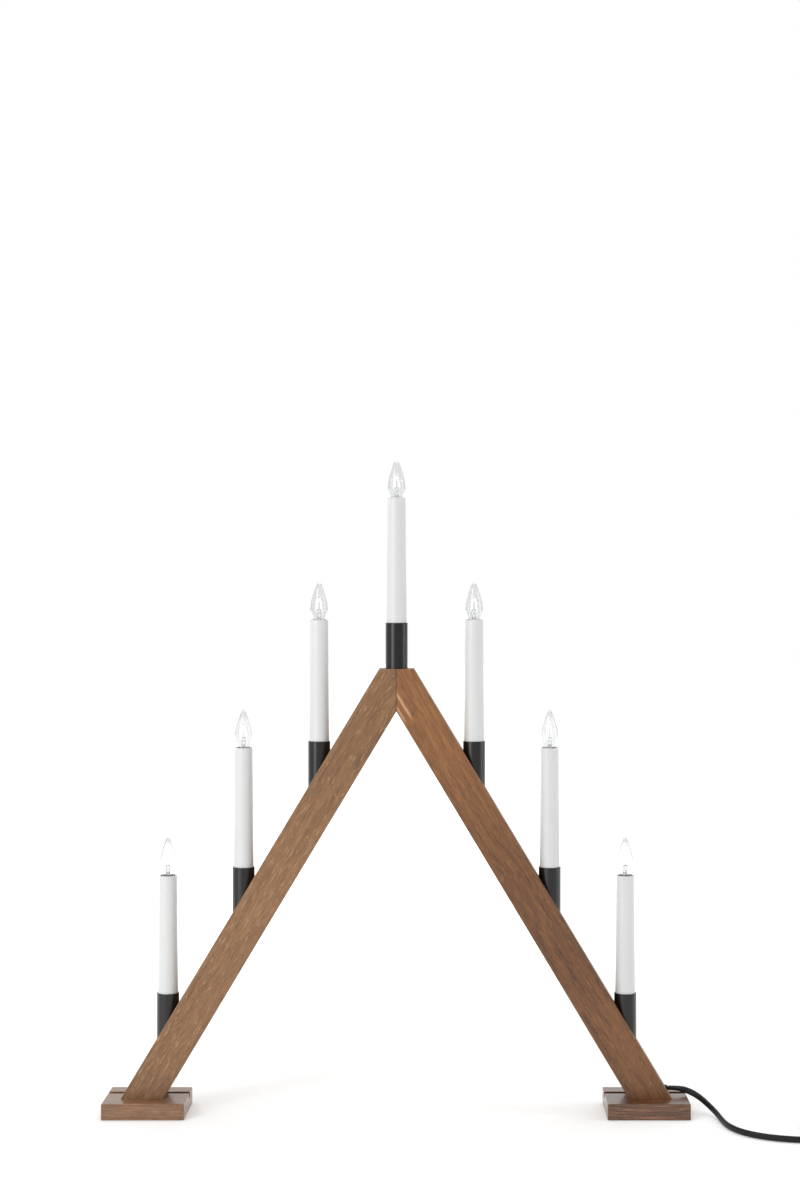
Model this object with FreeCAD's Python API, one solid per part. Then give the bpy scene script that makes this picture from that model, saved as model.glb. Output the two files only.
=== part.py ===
"""Electric candle arch: two leaning timber beams on two feet, and seven candle lamps in metal cups.

Millimetres. X runs along the arch, Y from front to back and Z up. The origin lies on the floor,
in the middle of the arch and of the depth of its feet.
"""

import FreeCAD, Part
import math
import os

from FreeCAD import Vector

# ---- Beams ----
apex_height = 381.5  # floor to the flat that is cut across the apex
apex_flat_width = 29.7
beam_lean = 31.0  # degrees from upright
beam_width = 31.4  # across the beam, in the plane of the arch
beam_depth = 26.0
beam_edge_radius = 0.8

# ---- Feet ----
foot_length = 70.5
foot_depth = 60.0
foot_height = 13.5
foot_edge_radius = 0.9
foot_inset = 2.8  # the beam stands this far outside the middle of its foot
foot_groove_width = 6.5
foot_groove_depth = 4.5
joint_clearance = 0.1  # between joiner's fits, a side

# ---- Wiring channel in the back of the beams ----
channel_width = 8.0
channel_offset = 3.0  # from the beam's middle line towards its inner face
channel_depth = 16.0  # from the back face to the floor of the channel
channel_bottom_wood = 2.5  # left under the channel's lower end
cover_width = 12.0
cover_thickness = 3.0
cover_rib_height = 2.0
cover_apex_wood = 7.5  # left between the top flat and the covers
pocket_half_width = 8.0  # the pocket that joins both channels at the apex
pocket_height = 15.0
pocket_top_wood = 11.5

# ---- Dowels and foot screws ----
dowel_diameter = 5.0
dowel_length = 30.0
dowel_front_wood = 2.2  # between the front face and the dowels
dowel_heights_below_flat = (9.5, 28.5)
foot_screw_diameter = 3.5
foot_screw_head_diameter = 7.0
foot_screw_head_height = 2.2
foot_screw_length = 36.0
foot_screw_recess = 0.4
foot_screw_front_wood = 4.0  # between the beam's front face and the screws
foot_screw_offsets = (-9.0, 0.0)  # from the middle of the beam at the foot, towards its outer side

# ---- Cups ----
cup_diameter = 19.0
cup_length = 39.4
cup_wall = 0.8
cup_floor = 1.5
cup_rim_radius = 0.3
seat_clearance = 0.1
cup_first_offset = 66.8  # from the apex cup to the next, along X
cup_last_inset = 38.967  # of the lowest cup's axis from the beam's outer foot corner, along X
rim_above_face = 24.0  # cup rim over the beam's outer face, at the cup's axis
nipple_diameter = 8.0
nipple_bore = 5.8
nipple_in_wood = 6.0
nipple_in_spigot = 9.0
wire_hole_diameter = 6.0

# ---- Candle sleeves ----
sleeve_bottom_diameter = 17.2
sleeve_top_diameter = 15.4
sleeve_length = 125.0
sleeve_skirt_length = 24.0  # straight part at the bottom
sleeve_wall = 1.1
sleeve_seat_depths = (17.4, 20.7, 22.4, 24.1)  # of each level's sleeve in its cup, apex first
spigot_height = 36.0
spigot_bore = 6.4
spigot_clearance = 0.1

# ---- Lampholders ----
holder_recess = 0.8  # below the sleeve's top
holder_length = 17.0
holder_clearance = 0.08
holder_web_depth = 12.9  # sleeve top to the web that carries the centre contact
holder_web_thickness = 2.0
holder_skirt_bore = 9.0
screw_shell_bore = 9.8
screw_shell_wall = 0.3
screw_shell_length = 8.8
screw_shell_recess = 2.2
screw_shell_lip = 1.0  # of the holder under the screw shell
centre_contact_diameter = 3.0
contact_gap = 0.05

# ---- Lamps ----
lamp_thread_diameter = 9.5
lamp_cap_wall = 0.3
lamp_cap_top = -2.0  # above the sleeve's top
lamp_cap_length = 8.0
lamp_insulator_diameter = 6.0
lamp_insulator_length = 1.0
lamp_contact_diameter = 4.0
lamp_contact_height = 0.8
lamp_height = 32.7  # glass above the sleeve's top
lamp_glass_wall = 0.5
lamp_neck_radius = 4.4
lamp_neck_in_cap = 2.0
lamp_profile = (  # radius, height above the sleeve's top
    (5.4, 0.0),
    (7.0, 4.4),
    (7.75, 9.0),
    (7.1, 15.2),
    (5.8, 20.0),
    (4.5, 24.4),
    (3.0, 28.7),
    (1.6, 31.6),
)
lamp_pip_radius = 0.5
lamp_pip_least = 0.1
stem_radius = 1.5
stem_foot_radius = 2.4
stem_top = 8.5  # above the sleeve's top
filament_radius = 0.35
filament_top = 19.0

# ---- Wires ----
wire_diameter = 1.6
wire_side_offset = 1.5  # from a candle's axis
wire_bend_radius = 2.4
wire_turn_width = 5.6  # of the hairpin under a cup
core_lead_in = 4.0  # straight length of the supply core past the sheath
core_offset = 1.3  # of each core from the middle of the sheathed lead
return_bend = 1.0  # by which the return core runs past the last lamp before it turns up

# ---- Lead: flat two-core cord, put away in a coil ----
cord_diameter = 5.2
cord_exit_height = 19.2
cord_exit_back = 4.0  # behind the middle of the beams
cord_exit_proud = 0.6
bush_diameter = 8.6
bush_length = 9.0
bush_clearance = 0.05
inner_cord_rise = 12.0  # sheathed length up the channel
cord_floor = cord_diameter / 2
cord_points = (  # after the exit from the beam
    (241.6, 4.0, 19.2),
    (250.8, 2.3, 17.4),
    (260.2, -2.4, 13.3),
    (268.2, -11.6, 7.4),
    (273.2, -25.0, 3.8),
    (275.3, -42.0, cord_floor),
    (278.2, -59.5, cord_floor),
    (286.0, -76.0, cord_floor),
    (299.8, -89.2, cord_floor),
    (319.0, -97.8, cord_floor),
    (342.6, -101.8, cord_floor),
    (366.0, -103.5, cord_floor),
    (387.0, -103.5, cord_floor),
)
coil_mean_radius = 31.0
coil_pitch = 5.7  # between turns beside each other, and between layers
coil_turns_a_layer = 4.0
coil_climb_turns = 0.5  # over which the coil climbs to its upper layer
coil_end_runs = (15.0, 24.0, 31.0)  # past the turns: level, down to the plug's height, level again

# ---- Mains plug, flat two-pin ----
plug_thickness = 13.7
plug_body_length = 24.0
plug_corner_radius = 3.0
plug_least_flat = 0.3  # half of the flat left between its rounded corners
plug_shape = (  # share of the body's length, width, thickness
    (0.0, 15.0, 10.3),
    (0.35, 30.4, plug_thickness),
    (0.7, 35.3, plug_thickness),
    (1.0, 35.3, 11.5),
)
plug_tail_length = 24.0
plug_tail_start_radius = 3.1
plug_tail_end_radius = 4.4
plug_tail_overlap = 2.0
plug_pin_spacing = 18.6
plug_pin_diameter = 4.0
plug_pin_length = 19.0
plug_pin_sleeve_length = 10.0
plug_pin_sleeve_diameter = 3.8
plug_pin_core_diameter = 3.2
plug_pin_root = 6.0
plug_pin_tip_radius = 1.2

# ---- Worked out ----
tan_lean = math.tan(math.radians(beam_lean))
cos_lean = math.cos(math.radians(beam_lean))
sin_lean = math.sin(math.radians(beam_lean))
beam_run = beam_width / cos_lean  # across the beam, measured level
beam_front = -beam_depth / 2
beam_back = beam_depth / 2
channel_floor = beam_back - channel_depth
covers_top = apex_height - cover_apex_wood
pocket_top = apex_height - pocket_top_wood
level_names = ("high", "mid", "low")  # below the apex, which is level 0
lowest = len(level_names)
up = Vector(0, 0, 1)
lane_up = Vector(-sin_lean, 0, cos_lean)  # up the right beam


def outer_x(z):
    """How far out a beam's outer face is at a height."""
    return apex_flat_width / 2 + (apex_height - z) * tan_lean


def middle_x(z):
    return outer_x(z) - beam_run / 2


def middle_z(x):
    """The height of a beam's middle line at a distance from the centre."""
    return apex_height - (x + beam_run / 2 - apex_flat_width / 2) / tan_lean


def outer_z(x):
    return apex_height - (x - apex_flat_width / 2) / tan_lean


def lane_x(z):
    """The middle of the wiring channel."""
    return middle_x(z) - channel_offset / cos_lean


def lane_z(x):
    return middle_z(x + channel_offset / cos_lean)


def candle_x(level):
    """The cups under the apex are evenly spread."""
    if not level:
        return 0.0
    last = outer_x(foot_height) - cup_last_inset
    return cup_first_offset + (last - cup_first_offset) * (level - 1) / (lowest - 1)


def cup_bottom(level):
    """The seat floor: the top flat at the apex, and elsewhere where the cup's outer side meets the face."""
    return outer_z(candle_x(level)) + rim_above_face - cup_length if level else apex_height


def sleeve_top(level):
    return cup_bottom(level) + cup_length - sleeve_seat_depths[level] + sleeve_length


def candles():
    """Name, side (-1, 0 or 1) and level of each candle, from left to right."""
    right = [("right_" + name, 1, level) for level, name in enumerate(level_names, 1)]
    left = [("left_" + name, -1, level) for level, name in enumerate(level_names, 1)]
    return left[::-1] + [("top", 0, 0)] + right


# ---- Shape helpers ----
def rod(radius, height, base, direction=up):
    return Part.makeCylinder(radius, height, base, direction)


def tube(outer, inner, height, base, direction=up):
    return rod(outer, height, base, direction).cut(rod(inner, height, base, direction))


def prism(outline, depth, y):
    """A solid over an outline of (x, z) corners, from y backwards."""
    corners = [Vector(x, y, z) for x, z in outline]
    return Part.Face(Part.makePolygon(corners + corners[:1])).extrude(Vector(0, depth, 0))


def mirrored(shape):
    return shape.mirror(Vector(0, 0, 0), Vector(1, 0, 0))


def turned(edges):
    """A solid of revolution about Z, from the edges of its closed half section."""
    return Part.Solid(Part.Face(Part.Wire(edges)).revolve(Vector(0, 0, 0), up, 360))


def turned_outline(points):
    corners = [Vector(r, 0, z) for r, z in points]
    return turned(Part.makePolygon(corners + corners[:1]).Edges)


def route_wire(points, radius=None, report=""):
    """Straight runs through points, joined by tangent arcs.

    Each arc has the given radius, or else one as large as its runs allow.
    """
    points = [Vector(*p) for p in points]
    edges = []
    radii = []
    start = points[0]
    for before, corner, after in zip(points, points[1:], points[2:]):
        inward = (before - corner).normalize()
        onward = (after - corner).normalize()
        turn = math.pi - inward.getAngle(onward)
        shorter = min((before - corner).Length, (after - corner).Length)
        most = 0.45 * shorter / math.tan(turn / 2)
        arc_radius = min(radius, most) if radius else most
        back = arc_radius * math.tan(turn / 2)
        into = corner + inward * back
        out = corner + onward * back
        towards = (inward + onward).normalize()
        middle = corner + towards * (arc_radius / math.cos(turn / 2) - arc_radius)
        edges.append(Part.LineSegment(start, into).toShape())
        edges.append(Part.Arc(into, middle, out).toShape())
        radii.append(arc_radius)
        start = out
    edges.append(Part.LineSegment(start, points[-1]).toShape())
    if report:
        print(report, "arc radii", " ".join(f"{r:.0f}" for r in radii))
    return Part.Wire(edges)


def swept(path, diameter):
    """A round tube along a wire."""
    first = path.Edges[0]
    start = first.valueAt(first.FirstParameter)
    along = first.tangentAt(first.FirstParameter)
    ring = Part.Wire(Part.makeCircle(diameter / 2, start, along))
    return Part.Wire(path).makePipeShell([ring], True, False)


def checked_tube(name, path, diameter):
    solid = swept(path, diameter)
    share = solid.Volume / (math.pi * diameter**2 / 4 * path.Length)
    print(name, f"length {path.Length:.1f} volume share {share:.4f}")
    return solid


def write(name, *solids):
    shape = solids[0] if len(solids) == 1 else Part.makeCompound(list(solids))
    if not all(s.isValid() and s.Volume > 0 for s in shape.Solids):
        print("not valid:", name)
    shape.exportStep("parts/" + name + ".step")


# ---- Timber ----
def lane_band(width, bottom, top):
    """The outline of a band along the right beam's channel, between two heights and the centre."""
    half = width / 2 / cos_lean
    low_edge = lane_z(0) - half / tan_lean
    band = [(lane_x(bottom) - half, bottom), (lane_x(bottom) + half, bottom), (lane_x(top) + half, top)]
    if low_edge < top:
        return band + [(0, top), (0, low_edge)]
    return band + [(lane_x(top) - half, top)]


def pocket_outline():
    bottom = pocket_top - pocket_height
    return [(0, bottom), (pocket_half_width, bottom), (pocket_half_width, pocket_top), (0, pocket_top)]


def seat_tools(level):
    """What a cup and its nipple cut from the right beam."""
    base = Vector(candle_x(level), 0, cup_bottom(level))
    hole = rod(nipple_diameter / 2, nipple_in_wood, base - up * nipple_in_wood)
    deep = base.z - (lane_z(base.x) if level else pocket_top)
    wire_hole = rod(wire_hole_diameter / 2, deep, base - up * deep)
    if not level:
        return [hole, wire_hole]
    return [rod(cup_diameter / 2 + seat_clearance, cup_length * 2, base), hole, wire_hole]


def screw_places():
    y = beam_front + foot_screw_front_wood + foot_screw_diameter / 2
    middle = middle_x(foot_height)
    return [Vector(middle + offset, y, foot_screw_recess) for offset in foot_screw_offsets]


def screw_head(place):
    return Part.makeCone(foot_screw_head_diameter / 2, foot_screw_diameter / 2, foot_screw_head_height, place)


def screw(place):
    return rod(foot_screw_diameter / 2, foot_screw_length, place).fuse(screw_head(place)).removeSplitter()


def dowel_places():
    y = beam_front + dowel_front_wood + dowel_diameter / 2
    return [Vector(-dowel_length / 2, y, apex_height - below) for below in dowel_heights_below_flat]


def dowel(place):
    return rod(dowel_diameter / 2, dowel_length, place, Vector(1, 0, 0))


def rounded_long_edges(solid, radius, direction):
    """Rounds the edges that run along a direction on the outside of a bar."""
    along = Vector(*direction).normalize()
    edges = [e for e in solid.Edges if abs(abs(e.tangentAt(e.FirstParameter).dot(along)) - 1) < 1e-6]
    return solid.makeFillet(radius, edges)


def tongue_outline():
    """The tongue under the right beam's back, the beam's own width and lean."""
    bottom = foot_height - foot_groove_depth + joint_clearance
    top_inner = outer_x(foot_height) - beam_run
    return [
        (outer_x(bottom) - beam_run, bottom),
        (outer_x(bottom), bottom),
        (outer_x(foot_height), foot_height),
        (top_inner, foot_height),
    ]


def right_beam():
    inner_bottom = outer_x(foot_height) - beam_run
    crotch = apex_height - (beam_run - apex_flat_width / 2) / tan_lean
    outline = [
        (0, crotch),
        (inner_bottom, foot_height),
        (outer_x(foot_height), foot_height),
        (apex_flat_width / 2, apex_height),
        (0, apex_height),
    ]
    bar = prism(outline, beam_depth, beam_front)
    beam = rounded_long_edges(bar, beam_edge_radius, (sin_lean, 0, -cos_lean))
    tongue_thickness = foot_groove_width - 2 * joint_clearance
    beam = beam.fuse(prism(tongue_outline(), tongue_thickness, beam_back - tongue_thickness))
    channel_bottom = foot_height + channel_bottom_wood
    rebate = lane_band(cover_width, foot_height, covers_top)
    beam = beam.cut(prism(rebate, cover_thickness, beam_back - cover_thickness))
    channel = lane_band(channel_width, channel_bottom, pocket_top)
    beam = beam.cut(prism(channel, channel_depth, channel_floor))
    pocket_depth = channel_depth - cover_thickness
    beam = beam.cut(prism(pocket_outline(), pocket_depth, channel_floor))
    for level in range(lowest + 1):
        for tool in seat_tools(level):
            beam = beam.cut(tool)
    for place in dowel_places():
        beam = beam.cut(dowel(place))
    for place in screw_places():
        beam = beam.cut(rod(foot_screw_diameter / 2, foot_screw_length, place))
    return beam


def lead_hole():
    """The level hole from the outer face into the channel."""
    start = Vector(lane_x(cord_exit_height), cord_exit_back, cord_exit_height)
    return rod(bush_diameter / 2, beam_run, start, Vector(1, 0, 0))


def right_foot():
    middle = middle_x(foot_height) - foot_inset
    corner = Vector(middle - foot_length / 2, -foot_depth / 2, 0)
    foot = Part.makeBox(foot_length, foot_depth, foot_height, corner)
    foot = foot.makeFillet(foot_edge_radius, [e for e in foot.Edges if e.BoundBox.ZMax > 1])
    groove_back = beam_back + joint_clearance
    groove_corner = Vector(corner.x - 1, groove_back - foot_groove_width, foot_height - foot_groove_depth)
    foot = foot.cut(Part.makeBox(foot_length + 2, foot_groove_width, foot_groove_depth + 1, groove_corner))
    for place in screw_places():
        foot = foot.cut(rod(foot_screw_diameter / 2, foot_height, place))
        entry = Vector(place.x, place.y, 0)
        foot = foot.cut(rod(foot_screw_head_diameter / 2, foot_screw_recess, entry))
        foot = foot.cut(screw_head(place))
    return foot


def right_cover():
    """The strip that closes the channel: a flat head, and a rib pressed between the channel's walls."""
    head_band = lane_band(cover_width - 2 * joint_clearance, foot_height, covers_top)
    head = prism(head_band, cover_thickness, beam_back - cover_thickness)
    rib_bottom = foot_height + channel_bottom_wood + joint_clearance
    rib_band = lane_band(channel_width - 2 * joint_clearance, rib_bottom, pocket_top - joint_clearance)
    rib = prism(rib_band, cover_rib_height, beam_back - cover_thickness - cover_rib_height)
    return head.fuse(rib).removeSplitter()


def make_timber():
    beam = right_beam()
    write("right_beam", beam.cut(lead_hole()))
    write("left_beam", mirrored(beam))
    foot = right_foot()
    write("right_foot", foot)
    write("left_foot", mirrored(foot))
    cover = right_cover()
    write("right_cover_strip", cover)
    write("left_cover_strip", mirrored(cover))
    write("mitre_dowels", *[dowel(place) for place in dowel_places()])
    screws = [screw(place) for place in screw_places()]
    write("foot_screws", *screws, *[mirrored(s) for s in screws])


# ---- Candles: each is modelled on the Z axis and then moved to its place ----
def cup():
    body = rod(cup_diameter / 2, cup_length, Vector())
    body = body.cut(rod(cup_diameter / 2 - cup_wall, cup_length, Vector(0, 0, cup_floor)))
    rim = [e for e in body.Edges if e.BoundBox.ZMin > cup_length - 0.01]
    body = body.makeFillet(cup_rim_radius, rim)
    return body.cut(rod(nipple_diameter / 2, cup_floor, Vector()))


def nipple():
    length = nipple_in_wood + cup_floor + nipple_in_spigot
    return tube(nipple_diameter / 2, nipple_bore / 2, length, Vector(0, 0, -nipple_in_wood))


def spigot():
    radius = sleeve_bottom_diameter / 2 - sleeve_wall - spigot_clearance
    body = tube(radius, spigot_bore / 2, spigot_height, Vector(0, 0, cup_floor))
    return body.cut(rod(nipple_diameter / 2, nipple_in_spigot, Vector(0, 0, cup_floor)))


def sleeve_radius(below):
    """The sleeve's outer radius at a depth below its top."""
    taper = (sleeve_bottom_diameter - sleeve_top_diameter) / 2 / (sleeve_length - sleeve_skirt_length)
    return sleeve_top_diameter / 2 + taper * below


def sleeve():
    """Its top is at z = 0."""
    skirt = sleeve_bottom_diameter / 2
    top = sleeve_top_diameter / 2
    taper_end = sleeve_skirt_length - sleeve_length
    return turned_outline(
        [
            (skirt - sleeve_wall, -sleeve_length),
            (skirt, -sleeve_length),
            (skirt, taper_end),
            (top, 0),
            (top - sleeve_wall, 0),
            (skirt - sleeve_wall, taper_end),
        ]
    )


def holder_body():
    """The tapered insulating plug in the sleeve's top, open above for the screw shell and hollow below."""
    bottom = holder_recess + holder_length
    play = sleeve_wall + holder_clearance
    body = turned_outline(
        [
            (0, -bottom),
            (sleeve_radius(bottom) - play, -bottom),
            (sleeve_radius(holder_recess) - play, -holder_recess),
            (0, -holder_recess),
        ]
    )
    shell_radius = screw_shell_bore / 2 + screw_shell_wall
    shell_bottom = -screw_shell_recess - screw_shell_length
    body = body.cut(rod(shell_radius, -shell_bottom, Vector(0, 0, shell_bottom)))
    body = body.cut(rod(screw_shell_bore / 2 - screw_shell_lip, holder_web_depth, Vector(0, 0, -holder_web_depth)))
    web_bottom = -holder_web_depth - holder_web_thickness
    return body.cut(rod(holder_skirt_bore / 2, bottom + web_bottom, Vector(0, 0, -bottom)))


def screw_shell():
    return tube(
        screw_shell_bore / 2 + screw_shell_wall,
        screw_shell_bore / 2,
        screw_shell_length,
        Vector(0, 0, -screw_shell_recess - screw_shell_length),
    )


def lamp_contact_bottom():
    return lamp_cap_top - lamp_cap_length - lamp_insulator_length - lamp_contact_height


def centre_contact():
    height = holder_web_depth + lamp_contact_bottom() - contact_gap
    return rod(centre_contact_diameter / 2, height, Vector(0, 0, -holder_web_depth))


def lamp_cap():
    """Screw shell with its turned-in floor, and the insulator under it."""
    bottom = lamp_cap_top - lamp_cap_length
    radius = lamp_thread_diameter / 2
    shell = rod(radius, lamp_cap_length, Vector(0, 0, bottom))
    shell = shell.cut(rod(radius - lamp_cap_wall, lamp_cap_length, Vector(0, 0, bottom + lamp_cap_wall)))
    below = Vector(0, 0, bottom - lamp_insulator_length)
    insulator = rod(lamp_insulator_diameter / 2, lamp_insulator_length, below)
    return shell, insulator


def lamp_contact():
    return rod(lamp_contact_diameter / 2, lamp_contact_height, Vector(0, 0, lamp_contact_bottom()))


def lamp_shell(inset):
    """The flame-shaped solid inside an outline that is set in from the glass."""
    neck_bottom = Vector(0, 0, lamp_cap_top - lamp_neck_in_cap + inset)
    neck_side = neck_bottom + Vector(lamp_neck_radius - inset, 0, 0)
    tip = Vector(0, 0, lamp_height - inset)
    points = [Vector(neck_side.x, 0, lamp_cap_top)]
    points += [Vector(r - inset, 0, z) for r, z in lamp_profile]
    points.append(tip + Vector(max(lamp_pip_radius - inset, lamp_pip_least), 0, 0))
    side = Part.BSplineCurve()
    side.interpolate(points)
    return turned(
        [
            Part.LineSegment(neck_bottom, neck_side).toShape(),
            Part.LineSegment(neck_side, points[0]).toShape(),
            side.toShape(),
            Part.LineSegment(points[-1], tip).toShape(),
            Part.LineSegment(tip, neck_bottom).toShape(),
        ]
    )


def lamp_glass():
    """The hollow envelope, and the stem and filament that stand in it."""
    envelope = lamp_shell(0).cut(lamp_shell(lamp_glass_wall))
    stem_bottom = lamp_cap_top - lamp_neck_in_cap + lamp_glass_wall
    stem = Part.makeCone(stem_foot_radius, stem_radius, stem_top - stem_bottom, Vector(0, 0, stem_bottom))
    filament = rod(filament_radius, filament_top - stem_top, Vector(0, 0, stem_top))
    return envelope, stem, filament


def make_candles():
    in_cup = {"sleeve_spigots": spigot, "cup_nipples": nipple}
    in_sleeve = {
        "holder_bodies": holder_body,
        "holder_screw_shells": screw_shell,
        "holder_contacts": centre_contact,
    }
    fixed = {name: [] for name in [*in_cup, *in_sleeve]}
    for name, side, level in candles():
        seat = Vector(side * candle_x(level), 0, cup_bottom(level))
        top = Vector(seat.x, 0, sleeve_top(level))
        write("cup_" + name, cup().translated(seat))
        write("sleeve_" + name, sleeve().translated(top))
        for group, make in in_cup.items():
            fixed[group].append(make().translated(seat))
        for group, make in in_sleeve.items():
            fixed[group].append(make().translated(top))
        write("bulb_" + name + "_glass", *[s.translated(top) for s in lamp_glass()])
        write("bulb_" + name + "_cap", *[s.translated(top) for s in lamp_cap()])
        write("bulb_" + name + "_contact", lamp_contact().translated(top))
        print(name, f"x {top.x:.2f} rim {seat.z + cup_length:.2f} sleeve top {top.z:.2f}")
    for name, solids in fixed.items():
        write(name, *solids)


# ---- Series wiring, lamp to lamp, along the channels ----
def wire_top(level):
    return sleeve_top(level) - holder_web_depth - holder_web_thickness


def link_points(upper, lower):
    """From the upper lamp down its candle, along the channel, and by a hairpin up into the lower lamp."""
    x_upper = candle_x(upper) + wire_side_offset
    x_lower = candle_x(lower) - wire_side_offset
    x_turn = x_lower - wire_turn_width
    return [
        (x_upper, 0, wire_top(upper)),
        (x_upper, 0, lane_z(x_upper)),
        (x_turn, 0, lane_z(x_turn)),
        (x_lower, 0, lane_z(x_turn)),
        (x_lower, 0, wire_top(lower)),
    ]


def inner_cord_points():
    """Level through the bush, then up the channel."""
    corner = Vector(lane_x(cord_exit_height), cord_exit_back, cord_exit_height)
    start = Vector(outer_x(cord_exit_height) + cord_exit_proud, cord_exit_back, cord_exit_height)
    return [start, corner, corner + lane_up * inner_cord_rise]


def supply_points():
    """From the sheathed lead up the right channel into the lowest lamp."""
    x = candle_x(lowest) + wire_side_offset
    start = inner_cord_points()[-1] - Vector(0, core_offset, 0)
    return [start, start + lane_up * core_lead_in, (x, 0, lane_z(x)), (x, 0, wire_top(lowest))]


def return_points():
    """From the lead up the right channel, across the apex, and down to the lowest lamp on the left."""
    start = inner_cord_points()[-1] + Vector(0, core_offset, 0)
    cross_z = pocket_top - pocket_height / 2
    cross_x = lane_x(cross_z)
    x = candle_x(lowest) + wire_side_offset
    return [
        start,
        (cross_x, start.y, cross_z),
        (-cross_x, start.y, cross_z),
        (-x - return_bend, start.y, lane_z(x + return_bend)),
        (-x - 3 * return_bend, start.y / 2, lane_z(x + 3 * return_bend) - return_bend / 2),
        (-x, 0, lane_z(x)),
        (-x, 0, wire_top(lowest)),
    ]


def make_wiring():
    wires = []
    for upper in range(lowest):
        points = link_points(upper, upper + 1)
        wires.append(swept(route_wire(points, wire_bend_radius), wire_diameter))
        wires.append(swept(route_wire([(-x, y, z) for x, y, z in points], wire_bend_radius), wire_diameter))
    wires.append(swept(route_wire(supply_points(), wire_bend_radius), wire_diameter))
    wires.append(swept(route_wire(return_points(), wire_bend_radius), wire_diameter))
    write("series_wires", *wires)
    write("inner_cord", swept(route_wire(inner_cord_points(), 2 * cord_diameter), cord_diameter))
    make_bush()


def make_bush():
    """The strain-relief bush round the lead, cut flush with the beam's outer face."""
    face_x = outer_x(cord_exit_height)
    start = Vector(face_x - bush_length, cord_exit_back, cord_exit_height)
    bore = cord_diameter / 2 + bush_clearance
    ring = tube(bush_diameter / 2, bore, bush_length * 2, start, Vector(1, 0, 0))
    low = cord_exit_height - bush_diameter
    high = cord_exit_height + bush_diameter
    beam_side = [
        (outer_x(low) - beam_run, low),
        (outer_x(low), low),
        (outer_x(high), high),
        (outer_x(high) - beam_run, high),
    ]
    write("cord_bush", ring.common(prism(beam_side, beam_depth, beam_front)))


# ---- Lead ----
def coil_radius(turns):
    """Spirals in through the lower layer and out again through the upper one."""
    inward = min(turns, 2 * coil_turns_a_layer - turns)
    return coil_mean_radius + coil_pitch * (coil_turns_a_layer / 2 - inward)


def coil_height(turns):
    """Climbs one layer about the middle turn, where the spiral reverses."""
    start = coil_turns_a_layer - coil_climb_turns / 2
    share = min(max(turns - start, 0), coil_climb_turns) / coil_climb_turns
    return cord_floor + coil_pitch * (share * share * (3 - 2 * share))


def coil_centre():
    end = cord_points[-1]
    return Vector(end[0], end[1] + coil_radius(0), 0)


def coil_point(turns):
    angle = 2 * math.pi * turns - math.pi / 2
    r = coil_radius(turns)
    centre = coil_centre()
    return Vector(centre.x + r * math.cos(angle), centre.y + r * math.sin(angle), coil_height(turns))


def coil_direction(turns):
    step = 1e-4
    end = 2 * coil_turns_a_layer
    if turns <= 0:
        return Vector(1, 0, 0)
    if turns >= end:
        angle = 2 * math.pi * turns
        return Vector(math.cos(angle), math.sin(angle), 0)
    return (coil_point(turns + step) - coil_point(turns - step)).normalize()


def biarc(p, p_along, q, q_along):
    """Two tangent arcs from p to q that leave and arrive along the given directions."""
    v = q - p
    a = 2 * (1 - p_along.dot(q_along))
    b = 2 * v.dot(p_along + q_along)
    reach = v.dot(v) / b if a < 1e-9 else (-b + math.sqrt(b * b + 4 * a * v.dot(v))) / (2 * a)
    p_hand = p + p_along * reach
    q_hand = q - q_along * reach
    join = (p_hand + q_hand) * 0.5
    return [arc_between(p, p_hand, join), arc_between(join, q_hand, q)]


def arc_between(start, corner, end):
    """The arc from start to end whose end tangents meet at corner."""
    half = (end - start).Length / 2
    rise = ((start + end) * 0.5 - corner).Length
    middle = (start + end) * 0.5
    if rise < 1e-7:
        return Part.LineSegment(start, end).toShape()
    half_turn = math.atan2(rise, half)
    sagitta = half * math.tan(half_turn / 2)
    return Part.Arc(start, middle + (corner - middle).normalize() * sagitta, end).toShape()


def coil_path():
    quarter = 0.25
    count = round(2 * coil_turns_a_layer / quarter)
    edges = []
    for i in range(count):
        a, b = i * quarter, (i + 1) * quarter
        edges += biarc(coil_point(a), coil_direction(a), coil_point(b), coil_direction(b))
    return Part.Wire(edges + route_wire(coil_end_points()).Edges)


def coil_end_points():
    """From the end of the upper layer down to the height of the plug's middle."""
    start = coil_point(2 * coil_turns_a_layer)
    along = coil_direction(2 * coil_turns_a_layer)
    drop = Vector(0, 0, plug_thickness / 2 - start.z)
    level, down, plug = [along * run for run in coil_end_runs]
    return [start, start + level, start + down + drop, start + plug + drop]


def least_gap(path, diameter):
    """The least distance between the surfaces of turns that pass each other."""
    points = path.discretize(Distance=3.0)
    step = path.Length / (len(points) - 1)
    apart = round(60.0 / step)
    least = min((a - b).Length for i, a in enumerate(points) for b in points[i + apart :])
    return least - diameter


def make_lead():
    route = route_wire(inner_cord_points()[:1] + list(cord_points), report="cord_lead")
    write("cord_lead", checked_tube("cord_lead", route, cord_diameter))
    coil = coil_path()
    print(f"coil least gap {least_gap(coil, cord_diameter):.2f}")
    print(f"coil least radius {coil_radius(coil_turns_a_layer):.1f}")
    write("cord_coil", checked_tube("cord_coil", coil, cord_diameter))
    print(f"whole lead {route.Length + coil.Length:.0f}")
    make_plug()


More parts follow.
